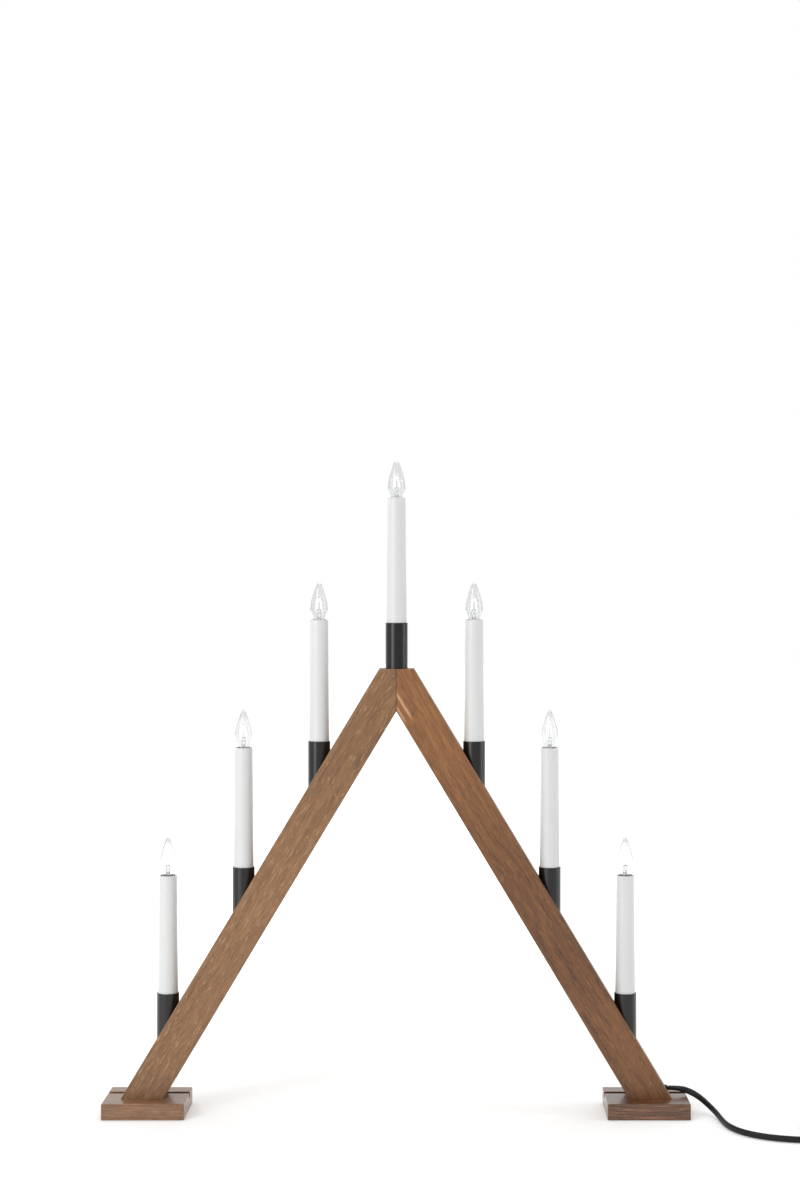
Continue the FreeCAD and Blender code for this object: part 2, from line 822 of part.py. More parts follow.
# ---- Plug: modelled along +X with the cord's end at the origin, then turned to the coil's end ----
def plug_section(x, width, thickness):
    """A rounded rectangle across the plug."""
    r = min(plug_corner_radius, thickness / 2 - plug_least_flat, width / 2 - plug_least_flat)
    half_y = width / 2 - r
    half_z = thickness / 2 - r
    s = r * math.sqrt(0.5)
    corners = ((1, 1), (-1, 1), (-1, -1), (1, -1))
    edges = []
    ends = []
    for sy, sz in corners:
        c = Vector(x, sy * half_y, sz * half_z)
        sides = [c + Vector(0, sy * r, 0), c + Vector(0, 0, sz * r)]
        if sy * sz < 0:
            sides.reverse()
        edges.append(Part.Arc(sides[0], c + Vector(0, sy * s, sz * s), sides[1]).toShape())
        ends.append(sides)
    lines = [Part.LineSegment(ends[i][1], ends[(i + 1) % 4][0]).toShape() for i in range(4)]
    return Part.Wire([e for pair in zip(edges, lines) for e in pair])


def plug_solid():
    along = Vector(1, 0, 0)
    body_end = plug_tail_length + plug_body_length
    tail_length = plug_tail_length + plug_tail_overlap
    tail = Part.makeCone(plug_tail_start_radius, plug_tail_end_radius, tail_length, Vector(), along)
    sections = [
        plug_section(plug_tail_length + plug_body_length * share, width, thickness)
        for share, width, thickness in plug_shape
    ]
    body = Part.makeLoft(sections, True, True).fuse(tail)
    for side in (-1, 1):
        base = Vector(body_end, side * plug_pin_spacing / 2, 0)
        body = body.fuse(rod(plug_pin_sleeve_diameter / 2, plug_pin_sleeve_length, base, along))
        core_length = plug_pin_root + plug_pin_sleeve_length
        body = body.cut(rod(plug_pin_core_diameter / 2, core_length, base - along * plug_pin_root, along))
    return body


def plug_pin(side):
    body_end = plug_tail_length + plug_body_length
    base = Vector(body_end - plug_pin_root, side * plug_pin_spacing / 2, 0)
    along = Vector(1, 0, 0)
    core = rod(plug_pin_core_diameter / 2, plug_pin_root + plug_pin_sleeve_length, base, along)
    bare = Vector(body_end + plug_pin_sleeve_length, base.y, 0)
    end = rod(plug_pin_diameter / 2, plug_pin_length - plug_pin_sleeve_length, bare, along)
    tip = [e for e in end.Edges if e.BoundBox.XMin > body_end + plug_pin_length - 0.01]
    return core.fuse(end.makeFillet(plug_pin_tip_radius, tip)).removeSplitter()


def make_plug():
    """Lies on the floor beside the coil, at the end of its upper layer."""
    turn = FreeCAD.Rotation(Vector(1, 0, 0), coil_direction(2 * coil_turns_a_layer))
    place = FreeCAD.Placement(coil_end_points()[-1], turn)
    pieces = {"plug_body": [plug_solid()], "plug_pins": [plug_pin(side) for side in (-1, 1)]}
    for name, shapes in pieces.items():
        for shape in shapes:
            shape.Placement = place.multiply(shape.Placement)
        write(name, *shapes)


os.makedirs("parts", exist_ok=True)
make_timber()
make_candles()
make_wiring()
make_lead()
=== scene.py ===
import math

import bmesh
import bpy
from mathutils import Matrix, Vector


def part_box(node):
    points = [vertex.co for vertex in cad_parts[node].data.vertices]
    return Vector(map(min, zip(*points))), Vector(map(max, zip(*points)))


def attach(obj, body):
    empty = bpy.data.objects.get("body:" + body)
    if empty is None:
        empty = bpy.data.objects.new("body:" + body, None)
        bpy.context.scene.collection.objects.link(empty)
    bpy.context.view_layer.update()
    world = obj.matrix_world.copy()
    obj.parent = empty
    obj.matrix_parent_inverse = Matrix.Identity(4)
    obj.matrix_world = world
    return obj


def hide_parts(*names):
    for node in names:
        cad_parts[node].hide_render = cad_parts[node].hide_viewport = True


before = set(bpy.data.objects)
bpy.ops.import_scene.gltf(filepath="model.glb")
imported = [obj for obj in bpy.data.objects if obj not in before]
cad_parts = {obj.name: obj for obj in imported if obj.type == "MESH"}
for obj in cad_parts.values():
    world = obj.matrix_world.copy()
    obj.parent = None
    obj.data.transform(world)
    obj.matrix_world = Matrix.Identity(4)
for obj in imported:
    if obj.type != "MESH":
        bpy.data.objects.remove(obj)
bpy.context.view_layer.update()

MM = 0.001
CANDLES = ("left_low", "left_mid", "left_high", "top", "right_high", "right_mid", "right_low")
LEAN = math.radians(31.0)  # of each beam, from upright
BEAM_MIDDLE_ACROSS = 193.516  # from the floor under the centre, across the lean, to a beam's middle line
BEAM_FACE = (12.2, 12.8)  # from the middle of the depth, where a beam's front and back faces begin


# ---- Shader arithmetic ----
class Value:
    """A shader socket with arithmetic."""

    def __init__(self, paint, socket):
        self.paint = paint
        self.socket = socket

    def __add__(self, other):
        return self.paint.math("ADD", self, other)

    __radd__ = __add__

    def __sub__(self, other):
        return self.paint.math("SUBTRACT", self, other)

    def __rsub__(self, other):
        return self.paint.math("SUBTRACT", other, self)

    def __mul__(self, other):
        return self.paint.math("MULTIPLY", self, other)

    def __truediv__(self, other):
        return self.paint.math("DIVIDE", self, other)

    def __pow__(self, other):
        return self.paint.math("POWER", self, other)


class Paint:
    """A material being mixed: its nodes are added by the methods, and coat() ends it."""

    def __init__(self, name):
        self.material = bpy.data.materials.new(name)
        self.material.use_nodes = True
        self.tree = self.material.node_tree
        self.tree.nodes.clear()

    def node(self, kind, settings, values):
        """Adds a node, sets it up, and gives its sockets numbers or links."""
        node = self.tree.nodes.new(kind)
        for name, setting in settings.items():
            if name == "stops":
                self.set_stops(node.color_ramp, setting)
            else:
                setattr(node, name, setting)
        for key, value in values.items():
            if isinstance(value, Value):
                self.tree.links.new(value.socket, node.inputs[key])
            else:
                node.inputs[key].default_value = value
        return node

    def set_stops(self, ramp, stops):
        while len(ramp.elements) < len(stops):
            ramp.elements.new(0.5)
        for element, (place, color) in zip(ramp.elements, stops):
            element.position = place
            element.color = (*color, 1.0)

    def value(self, kind, settings, values, output=0):
        return Value(self, self.node(kind, settings, values).outputs[output])

    def math(self, operation, a, b=0.0):
        return self.value("ShaderNodeMath", {"operation": operation}, {0: a, 1: b})

    def place(self):
        """Object coordinates in millimetres, as x, y and z."""
        here = self.value("ShaderNodeTexCoord", {}, {}, "Object")
        parts = self.node("ShaderNodeSeparateXYZ", {}, {0: here})
        return [Value(self, parts.outputs[axis]) * 1000.0 for axis in range(3)]

    def point(self, x, y, z):
        return self.value("ShaderNodeCombineXYZ", {}, {0: x, 1: y, 2: z})

    def noise(self, point, scale, detail, roughness=0.5):
        values = {"Vector": point, "Scale": scale, "Detail": detail, "Roughness": roughness}
        return self.value("ShaderNodeTexNoise", {}, values)

    def between(self, value, low, high):
        """0 below low, 1 above high, smooth between."""
        values = {"Value": value, "From Min": low, "From Max": high}
        return self.value("ShaderNodeMapRange", {"interpolation_type": "SMOOTHSTEP"}, values)

    def span(self, value, start, full, fade, gone):
        """1 from full to fade, 0 below start and above gone, smooth between."""
        return self.between(value, start, full) * (1.0 - self.between(value, fade, gone))

    def blend(self, share, a, b):
        """From colour a to colour b."""
        colors = {0: share, 6: a, 7: b}
        return self.value("ShaderNodeMix", {"data_type": "RGBA"}, colors, 2)

    def ramp(self, value, stops):
        return self.value("ShaderNodeValToRGB", {"stops": stops}, {0: value})

    def relief(self, height, distance, strength):
        values = {"Height": height, "Distance": distance, "Strength": strength}
        return self.value("ShaderNodeBump", {}, values)

    def coat(self, **values):
        """Ends the material with a principled surface; socket names have _ for their spaces."""
        sockets = {name.replace("_", " "): value for name, value in values.items()}
        surface = self.value("ShaderNodeBsdfPrincipled", {}, sockets)
        self.node("ShaderNodeOutputMaterial", {}, {0: surface})
        return self.material


def rgb(red, green, blue):
    """A colour from its 0 to 255 screen values."""
    return tuple(((v / 255.0 + 0.055) / 1.055) ** 2.4 if v > 10 else v / 3295.0 for v in (red, green, blue))


# ---- Finishes: millimetres ----
RING_WIDTH = 3.1
PITH_ASIDE = 9.0  # of the pith from the middle of the face
PITH_BEHIND = 46.0  # of the pith from the middle of the depth
SEAM_FADE = (0.3, 1.0)  # from the mitre, where its dark line begins and ends to fade
FLAME_ACROSS = -7.6  # from the beam's middle line
FLAME_SPAN = (278.0, 292.0, 308.0, 312.0)  # up the beam: it starts, is full, fades, is gone
# where the painted highlight along the right beam's inner edge lies: from the middle line, and up the beam
HIGHLIGHT_EDGE_ACROSS = -13.6
HIGHLIGHT_EDGE_SPAN = (280.0, 289.0, 298.0, 301.0)
KNOT = (26.0, -2.7)  # up the beam, and from its middle line


def stained_wood(name, along, across, depth_centre, seed, dark, middle, light, tone, flecks):
    """Brown-stained softwood.

    along and across are each a direction (x, z) and an offset in millimetres. Growth rings curve about a pith
    beyond the face, so a face shows straight lines or a flame and an end shows arcs.
    """
    paint = Paint(name)
    x, y, z = paint.place()
    u = x * along[0] + z * along[1]
    v = x * across[0] + z * across[1] - across[2]
    w = y - depth_centre
    drift = paint.noise(paint.point(u * 0.006 + seed, v * 0.02, w * 0.02), 1.0, 2.0) - 0.5
    wave = paint.noise(paint.point(u * 0.03, v * 0.12 + seed, w * 0.12), 1.0, 2.0) - 0.5
    ring_y = v + drift * 26.0 + wave * 3.0 + PITH_ASIDE
    ring_z = w + drift * 12.0 + PITH_BEHIND
    radius = (ring_y * ring_y + ring_z * ring_z) ** 0.5
    ring = radius / RING_WIDTH
    phase = ring - paint.math("FLOOR", ring)
    late = paint.span(phase, 0.25, 0.9, 0.9, 0.99)
    streak = paint.noise(paint.point(u * 0.012 + seed * 3.0, v * 0.35, w * 0.35), 1.0, 3.0, 0.6)
    fibre = paint.noise(paint.point(u * 0.08, v * 1.25 + seed, w * 1.25), 1.0, 4.0, 0.66)
    fleck = paint.noise(paint.point(u * 0.13 + 7.0, v * 0.85, w * 0.85 + seed), 1.0, 3.0, 0.55)
    shade = late * -0.09 + (streak - 0.5) * 0.45 + (fibre - 0.5) * 1.0 + 0.5 + tone(paint, u)
    color = paint.ramp(shade, ((0.0, dark), (0.5, middle), (1.0, light)))
    pale = paint.between(fleck, 0.6, 0.67) * flecks
    color = paint.blend(pale, color, (*light, 1.0))
    pore = paint.between(1.0 - fleck, 0.61, 0.68) * 0.55
    color = paint.blend(pore, color, (*dark, 1.0))
    height = fibre * 0.5 + late * 0.35 - pore * 0.8
    rough = 0.5 + (fibre - 0.5) * 0.25
    return paint, color, rough, height


def beam_wood(name, side, seed, dark, middle, light, tone, flecks, marks=None):
    """The grain runs up the beam; across runs from its inner to its outer face."""
    along = (-side * math.sin(LEAN), math.cos(LEAN))
    across = (side * math.cos(LEAN), math.sin(LEAN), BEAM_MIDDLE_ACROSS)
    paint, color, rough, height = stained_wood(
        name, along, across, 0.0, seed, dark, middle, light, tone, flecks
    )
    if marks:
        color = marks(paint, color)
    x, y, _ = paint.place()  # the mitre's seam shows as a thin dark line up the middle
    face = paint.between(paint.math("ABSOLUTE", y), *BEAM_FACE)
    seam = (1.0 - paint.between(paint.math("ABSOLUTE", x), *SEAM_FADE)) * face
    color = paint.blend(seam * 0.6, color, (*rgb(74, 46, 30), 1.0))
    normal = paint.relief(height, 0.00025, 0.5)
    return paint.coat(Base_Color=color, Roughness=rough, Normal=normal, Coat_Weight=0.25, Coat_Roughness=0.3)


def left_tone(paint, u):
    """Lightest halfway down."""
    lower = paint.between(u, -40.0, 90.0) * 0.06 - 0.09
    return lower - paint.between(u, 150.0, 240.0) * 0.06 + paint.between(u, 240.0, 320.0) * 0.03


def right_tone(paint, u):
    """Lightest at the top, darkest below the middle."""
    return paint.between(u, 80.0, 270.0) * 0.26 - paint.between(u, -80.0, 20.0) * 0.1 - 0.125


def right_marks(paint, color):
    """The pale flame beside the crotch, a painted highlight along the inner edge near the top, and a small
    dark knot low down.
    """
    x, y, z = paint.place()
    u = z * math.cos(LEAN) - x * math.sin(LEAN)
    v = x * math.cos(LEAN) + z * math.sin(LEAN) - BEAM_MIDDLE_ACROSS
    wander = paint.noise(paint.point(u * 0.05, v * 0.2, y * 0.05), 1.0, 2.0) * 8.0 - 4.0
    line = paint.math("ABSOLUTE", v - FLAME_ACROSS + wander * 0.15)
    pale = (1.0 - paint.between(line, 0.3, 1.9)) * paint.span(u, *FLAME_SPAN)
    color = paint.blend(pale * 0.75, color, (*rgb(214, 164, 116), 1.0))
    # painted highlight: a pale straight line just inside the inner edge near the top, where the edge would
    # catch the light
    rim = paint.math("ABSOLUTE", v - HIGHLIGHT_EDGE_ACROSS)
    edge = (1.0 - paint.between(rim, 0.4, 1.5)) * paint.span(u, *HIGHLIGHT_EDGE_SPAN)
    color = paint.blend(edge * 0.6, color, (*rgb(222, 160, 122), 1.0))
    up = u - KNOT[0]
    over = v - KNOT[1] + wander
    far = (up * up * 0.04 + over * over) ** 0.5
    knot = 1.0 - paint.between(far, 0.6, 2.6)
    return paint.blend(knot * 0.45, color, (*rgb(62, 40, 28), 1.0))


def foot_wood(name, seed, dark, middle, light, tone, polish):
    """The grain runs along the foot; its front shows wide straight stripes."""
    paint, color, rough, height = stained_wood(
        name, (1.0, 0.0), (0.0, 1.0, -seed), 20.0, seed, dark, middle, light, lambda *_: tone, 0.25
    )
    x, y, z = paint.place()
    warm = paint.noise(paint.point(x * 0.016 + seed, y * 0.05, z * 0.5), 1.0, 2.0)
    color = paint.blend(paint.between(warm, 0.6, 0.7) * 0.45, color, (*rgb(192, 122, 86), 1.0))
    return paint.coat(
        Base_Color=color,
        Roughness=rough - 0.06,
        Normal=paint.relief(height, 0.0002, 0.4),
        Coat_Weight=polish,
        Coat_Roughness=0.2,
    )


def powder_coat(name):
    paint = Paint(name)
    x, y, z = paint.place()
    grain = paint.noise(paint.point(x, y, z), 2.2, 3.0, 0.6)
    wide = paint.noise(paint.point(x, y, z), 0.12, 2.0)
    color = paint.blend(wide, (0.0022, 0.0022, 0.0026, 1.0), (0.004, 0.004, 0.0045, 1.0))
    return paint.coat(
        Base_Color=color,
        Roughness=0.3 + (grain - 0.5) * 0.08,
        Normal=paint.relief(grain, 0.00004, 0.5),
        Specular_IOR_Level=0.55,
    )


def white_plastic(name):
    """Smooth, with a faint cloudiness as moulded candle sleeves have."""
    paint = Paint(name)
    x, y, z = paint.place()
    cloud = paint.noise(paint.point(x * 0.06, y * 0.06, z * 0.02), 1.0, 2.0)
    color = paint.blend(cloud, (0.69, 0.70, 0.693, 1.0), (0.72, 0.73, 0.723, 1.0))
    fine = paint.noise(paint.point(x, y, z), 1.5, 2.0)
    normal = paint.relief(fine, 0.00002, 0.3)
    return paint.coat(Base_Color=color, Roughness=0.34 + (fine - 0.5) * 0.1, Normal=normal)


def plain_plastic(name, low, high, rough, shine=0.5):
    paint = Paint(name)
    x, y, z = paint.place()
    grain = paint.noise(paint.point(x, y, z), 1.6, 3.0, 0.6)
    color = paint.blend(grain, (*low, 1.0), (*high, 1.0))
    normal = paint.relief(grain, 0.00003, 0.4)
    return paint.coat(
        Base_Color=color, Roughness=rough + (grain - 0.5) * 0.14, Normal=normal, Specular_IOR_Level=shine
    )


def bare_metal(name, low, high, rough):
    paint = Paint(name)
    x, y, z = paint.place()
    tarnish = paint.noise(paint.point(x, y, z), 0.5, 4.0, 0.6)
    color = paint.blend(tarnish, (*low, 1.0), (*high, 1.0))
    return paint.coat(Base_Color=color, Metallic=1.0, Roughness=rough + (tarnish - 0.5) * 0.2)


def lamp_glass():
    """Clear, and slightly uneven in its tint."""
    paint = Paint("lamp_glass")
    x, y, z = paint.place()
    uneven = paint.noise(paint.point(x, y, z * 0.4), 0.25, 1.0)
    color = paint.blend(uneven, (0.87, 0.875, 0.878, 1.0), (0.89, 0.895, 0.898, 1.0))
    return paint.coat(Base_Color=color, Roughness=0.0, Transmission_Weight=1.0, IOR=1.47)


def hot_wire():
    """Drawn metal, lit softly and unevenly."""
    paint = Paint("filament_wire")
    x, y, z = paint.place()
    uneven = paint.noise(paint.point(x, y, z), 0.8, 2.0)
    glow = paint.blend(uneven, (1.0, 0.86, 0.62, 1.0), (1.0, 0.95, 0.82, 1.0))
    return paint.coat(
        Base_Color=(0.25, 0.22, 0.2, 1.0),
        Metallic=0.6,
        Roughness=0.5,
        Emission_Color=glow,
        Emission_Strength=4.0,
    )


# ---- Making pieces ----
def piece(name, shape, finish, body):
    """Turns a bmesh into a piece that rides on a body."""
    mesh = bpy.data.meshes.new(name)
    shape.to_mesh(mesh)
    shape.free()
    return mesh_piece(name, mesh, finish, body)


def mesh_piece(name, mesh, finish, body):
    for polygon in mesh.polygons:
        polygon.use_smooth = True
    mesh.materials.clear()
    mesh.materials.append(finish)
    made = bpy.data.objects.new(name, mesh)
    bpy.context.scene.collection.objects.link(made)
    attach(made, body)
    return made


MERGE_DISTANCE = 1e-7


def closed(shape):
    """Merges doubles and turns the faces outwards."""
    bmesh.ops.remove_doubles(shape, verts=shape.verts, dist=MERGE_DISTANCE)
    bmesh.ops.recalc_face_normals(shape, faces=shape.faces)
    return shape


def outline(shape, points):
    """Adds a chain of edges through points."""
    verts = [shape.verts.new(p) for p in points]
    return verts + [shape.edges.new(pair) for pair in zip(verts, verts[1:])]


def spun(profile, place, steps, shape=None):
    """Spins a profile of (radius, height) millimetres about the upright line through place."""
    shape = shape or bmesh.new()
    points = [place + Vector((r, 0.0, z)) * MM for r, z in profile]
    bmesh.ops.spin(
        shape,
        geom=outline(shape, points),
        cent=place,
        axis=(0.0, 0.0, 1.0),
        angle=math.tau,
        steps=steps,
        use_merge=True,
    )
    return shape


def between_points(a, b, c, d, t):
    """One coordinate at the share t of the way from b to c, smooth with a before and d after."""
    bend = 2 * a - 5 * b + 4 * c - d
    twist = 3 * b - a - 3 * c + d
    return 0.5 * (2 * b + (c - a) * t + bend * t * t + twist * t**3)


def smooth_line(points, per_span):
    """A curve through 2-D points that runs smoothly from each to the next."""
    padded = [points[0], *points, points[-1]]
    line = []
    for p, q, r, s in zip(padded, padded[1:], padded[2:], padded[3:]):
        for step in range(per_span):
            share = step / per_span
            line.append(tuple(between_points(a, b, c, d, share) for a, b, c, d in zip(p, q, r, s)))
    return line + [points[-1]]


def solid_of(curve):
    """The mesh of a curve, which is then dropped."""
    holder = bpy.data.objects.new("holder", curve)
    bpy.context.scene.collection.objects.link(holder)
    depsgraph = bpy.context.evaluated_depsgraph_get()
    mesh = bpy.data.meshes.new_from_object(holder.evaluated_get(depsgraph))
    bpy.data.objects.remove(holder)
    bpy.data.curves.remove(curve)
    return mesh


CURVE_STEPS = 6  # between two control points
WIRE_ROUNDNESS = 2


def add_wire(shape, points, radius):
    """Adds a round wire along control points to a bmesh."""
    curve = bpy.data.curves.new("wire", "CURVE")
    curve.dimensions = "3D"
    curve.bevel_depth = radius
    curve.bevel_resolution = WIRE_ROUNDNESS
    curve.use_fill_caps = True
    curve.resolution_u = CURVE_STEPS
    spline = curve.splines.new("NURBS")
    spline.points.add(len(points) - 1)
    for control, point in zip(spline.points, points):
        control.co = (*point, 1.0)
    spline.order_u = 3
    spline.use_endpoint_u = True
    wire = solid_of(curve)
    shape.from_mesh(wire)
    bpy.data.meshes.remove(wire)


# ---- Lamps: millimetres, from the sleeve's rim ----
GLASS_OUTSIDE = (
    (4.4, -4.0), (4.4, -2.0), (5.4, 0.0), (7.0, 4.4), (7.75, 9.0), (7.1, 15.2),
    (5.8, 20.0), (4.5, 24.4), (3.0, 28.7), (1.6, 31.6), (0.75, 32.45),
)
GLASS_INSIDE = (
    (3.95, -4.0), (3.95, -2.0), (4.9, 0.1), (6.45, 4.4), (7.2, 9.0), (6.55, 15.2),
    (5.3, 20.0), (4.05, 24.3), (2.5, 28.4), (1.1, 30.8),
)
GLASS_STEPS = 96  # round the flame
STEM_STEPS = 24
CAP_STEPS = 40
BUTTON_STEPS = 32
STEM_PINCH = (2.0, 5.0)  # heights between which the tube turns into a flat pinch
PINCH_THINNER = 0.5
PINCH_WIDER = 0.35
THREAD_PITCH = 1.8143
THREAD_CREST = 4.75
THREAD_ROOT = 4.35
THREAD_START = -9.3
THREAD_TURNS = 3.6
THREAD_POINTS = 8  # along one pitch
SUPPORT_RADIUS = 0.09
HOOK_RADIUS = 0.05
FILAMENT_RADIUS = 0.11
FILAMENT_WINDING = 0.3
FILAMENT_TURNS = 56
FILAMENT_POINTS = 5  # in a turn


def glass_bulb(place):
    """A hollow flame of clear glass, thicker at its drawn-off tip."""
    outside = smooth_line(GLASS_OUTSIDE, 5) + [(0.35, 32.66), (0.0, 32.7)]
    inside = smooth_line(GLASS_INSIDE, 5) + [(0.5, 31.3), (0.0, 31.5)]
    return closed(spun(inside[::-1] + outside, place, GLASS_STEPS))


def glass_mount(place):
    """The stem: a flared tube from the neck, pinched flat where the wires go through, with a bead above."""
    profile = [(0.0, 3.0), (0.6, 2.7), (1.1, 1.6), (1.45, 0.0), (2.25, -2.2), (2.85, -3.4)]
    profile += [(3.3, -3.4), (2.7, -2.2), (1.9, 0.0), (1.55, 3.0), (1.5, 4.6)]
    profile += smooth_line([(1.5, 4.6), (1.75, 6.2), (1.45, 7.8), (0.7, 8.6), (0.0, 8.75)], 4)[1:]
    shape = closed(spun(profile, place, STEM_STEPS))
    low, high = STEM_PINCH
    for vert in shape.verts:
        height = (vert.co.z - place.z) / MM
        pinch = min(max((height - low) / (high - low), 0.0), 1.0)
        vert.co.y = place.y + (vert.co.y - place.y) * (1.0 - PINCH_THINNER * pinch)
        vert.co.x = place.x + (vert.co.x - place.x) * (1.0 + PINCH_WIDER * pinch)
    return shape


def support_wires(place):
    """Two lead wires up through the pinch to the filament's legs, and the hook that holds its top."""
    shape = bmesh.new()
    for side in (-1, 1):
        route = [(0.9, 0.0, 1.0), (0.9, 0.0, 8.0), (1.3, 0.0, 8.8), (1.75, 0.0, 9.2), (1.75, 0.0, 10.2)]
        points = [place + Vector((side * x, y, z)) * MM for x, y, z in route]
        add_wire(shape, points, SUPPORT_RADIUS * MM)
    hook = [(0.0, 0.0, 8.0), (0.0, 0.0, 15.0), (0.0, 0.2, 17.6), (0.0, 0.0, 18.4), (0.0, -0.3, 18.0)]
    add_wire(shape, [place + Vector(p) * MM for p in hook], HOOK_RADIUS * MM)
    return shape


def filament(place):
    """One close-wound wire: up from a lead wire, over the hook, and down to the other lead wire."""
    leg = [(1.75, 9.6), (1.6, 13.0), (1.15, 16.4)]
    spine = smooth_line([*leg, (0.0, 18.3), *((-x, z) for x, z in leg[::-1])], 12)
    count = FILAMENT_TURNS * FILAMENT_POINTS
    points = []
    for i in range(count + 1):
        share = i / count * (len(spine) - 1)
        near = min(int(share), len(spine) - 2)
        low, high = Vector(spine[near]), Vector(spine[near + 1])
        centre = low.lerp(high, share - near)
        across = (high - low).normalized()
        angle = i * math.tau / FILAMENT_POINTS
        out = FILAMENT_WINDING * math.cos(angle)
        back = FILAMENT_WINDING * math.sin(angle)
        points.append(place + Vector((centre.x - across.y * out, back, centre.y + across.x * out)) * MM)
    shape = bmesh.new()
    add_wire(shape, points, FILAMENT_RADIUS * MM)
    return shape


def threaded_cap(place):
    """The pressed brass shell: a rolled rim, a round thread, and a turned-in bottom."""
    shape = bmesh.new()
    wave = []
    for i in range(THREAD_POINTS + 1):
        share = i / THREAD_POINTS
        radius = THREAD_ROOT + (THREAD_CREST - THREAD_ROOT) * (0.5 - 0.5 * math.cos(share * math.tau))
        wave.append((radius, THREAD_START + share * THREAD_PITCH))
    points = [place + Vector((r, 0.0, z)) * MM for r, z in wave]
    bmesh.ops.spin(
        shape,
        geom=outline(shape, points),
        cent=place,
        axis=(0.0, 0.0, 1.0),
        dvec=(0.0, 0.0, THREAD_PITCH * MM / CAP_STEPS),
        angle=math.tau * (THREAD_TURNS - 1),
        steps=round(CAP_STEPS * (THREAD_TURNS - 1)),
        use_merge=False,
    )
    skin = [(0.0, -9.95), (3.2, -10.0), (3.9, -9.8), (4.3, -9.3), (4.36, -9.0), (4.36, -2.9)]
    skin += [(4.7, -2.6), (4.75, -2.3), (4.7, -2.05), (4.5, -2.0), (4.2, -2.0), (4.2, -9.0), (0.0, -9.4)]
    spun(skin, place, CAP_STEPS, shape)
    return closed(shape)


def insulator(place):
    """The dark glass button under the cap."""
    profile = [(0.0, -10.0), (3.15, -10.0), (3.0, -10.5), (2.3, -11.0), (0.0, -11.0)]
    return closed(spun(profile, place, BUTTON_STEPS))


def cap_cement(place):
    """The pale cement that holds the glass in its cap and closes the neck under the stem."""
    profile = [(0.0, -6.0), (4.1, -6.0), (4.1, -4.1), (3.8, -4.1), (3.8, -3.45), (0.0, -3.45)]
    return closed(spun(profile, place, BUTTON_STEPS))


def add_lamps(finishes):
    for name in CANDLES:
        low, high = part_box("sleeve_" + name)
        place = Vector(((low[0] + high[0]) / 2, (low[1] + high[1]) / 2, high[2]))
        body = "lamp_" + name
        glass = piece("bulb_" + name + "_envelope", glass_bulb(place), finishes["glass"], body)
        piece("bulb_" + name + "_stem", glass_mount(place), finishes["glass"], body)
        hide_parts("bulb_" + name + "_glass")
        piece("bulb_" + name + "_supports", support_wires(place), finishes["wire"], body)
        piece("bulb_" + name + "_filament", filament(place), finishes["filament"], body)
        cap = piece("bulb_" + name + "_thread", threaded_cap(place), finishes["brass"], body)
        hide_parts("bulb_" + name + "_cap")
        piece("bulb_" + name + "_insulator", insulator(place), finishes["dark_glass"], body)
        piece("bulb_" + name + "_cement", cap_cement(place), finishes["cement"], body)


# ---- Lead: the route's points are those of the source, in millimetres ----
CORD_WIDTH = 5.2
CORD_THICKNESS = 3.2
CORD_WAIST = 0.9  # of the thickness, between the two cores
CORE_ARC_STEP = 20  # degrees
CORD_EXIT = (233.142, 4.0, 19.2)
CORD_ROUTE = (
    CORD_EXIT, (241.6, 4.0, 19.2), (250.8, 2.3, 17.4), (260.2, -2.4, 13.3), (268.2, -11.6, 7.4),
    (273.2, -25.0, 3.8), (275.3, -42.0, 2.6), (278.2, -59.5, 2.6), (286.0, -76.0, 2.6), (299.8, -89.2, 2.6),
    (319.0, -97.8, 2.6), (342.6, -101.8, 2.6), (366.0, -103.5, 2.6), (387.0, -103.5, 2.6),
)
CORD_TWIST = (0.0, 8.0, 70.0, 90.0, 90.0)  # degrees from lying flat to standing on edge, at the first points
COIL_TURNS = 8.0
CLIMB_TURNS = 0.5  # in which the lead rises to the upper layer
COIL_PITCH = 5.7
COIL_MEAN = 31.0
COIL_SWELL = 1.01  # of the points, which lie outside the line that they pull
POINTS_A_TURN = 16
PLUG_MIDDLE = 6.85  # over the floor
COIL_END = ((0.0, 8.3), (15.0, 8.3), (24.0, PLUG_MIDDLE), (31.0, PLUG_MIDDLE))  # run past the turns, height


def coil_radius(turns):
    inward = min(turns, COIL_TURNS - turns)
    return COIL_MEAN + COIL_PITCH * (COIL_TURNS / 4 - inward)


def coil_route():
    """In through the lower layer, up, and out through the upper one, then down to the plug."""
    start_x, start_y, lower = CORD_ROUTE[-1]
    centre = Vector((start_x, start_y + coil_radius(0), 0.0))
    points = []
    for i in range(1, round(COIL_TURNS * POINTS_A_TURN)):
        turns = i / POINTS_A_TURN
        share = min(max((turns - COIL_TURNS / 2) / CLIMB_TURNS + 0.5, 0.0), 1.0)
        height = lower + COIL_PITCH * share * share * (3 - 2 * share)
        angle = math.tau * turns - math.pi / 2
        radius = coil_radius(turns) * COIL_SWELL
        points.append(centre + Vector((radius * math.cos(angle), radius * math.sin(angle), height)))
    for run, height in COIL_END:
        points.append(Vector((start_x + run, start_y, height)))
    return points


def cord_spline(curve, points):
    """Adds the route's line, twisted from flat at the beam to on edge."""
    spline = curve.splines.new("NURBS")
    spline.points.add(len(points) - 1)
    for i, (control, point) in enumerate(zip(spline.points, points)):
        control.co = (*(Vector(point) * MM), 1.0)
        control.tilt = math.radians(CORD_TWIST[min(i, len(CORD_TWIST) - 1)])
    spline.order_u = 3
    spline.use_endpoint_u = True
    curve.dimensions = "3D"
    curve.twist_mode = "Z_UP"
    curve.resolution_u = CURVE_STEPS


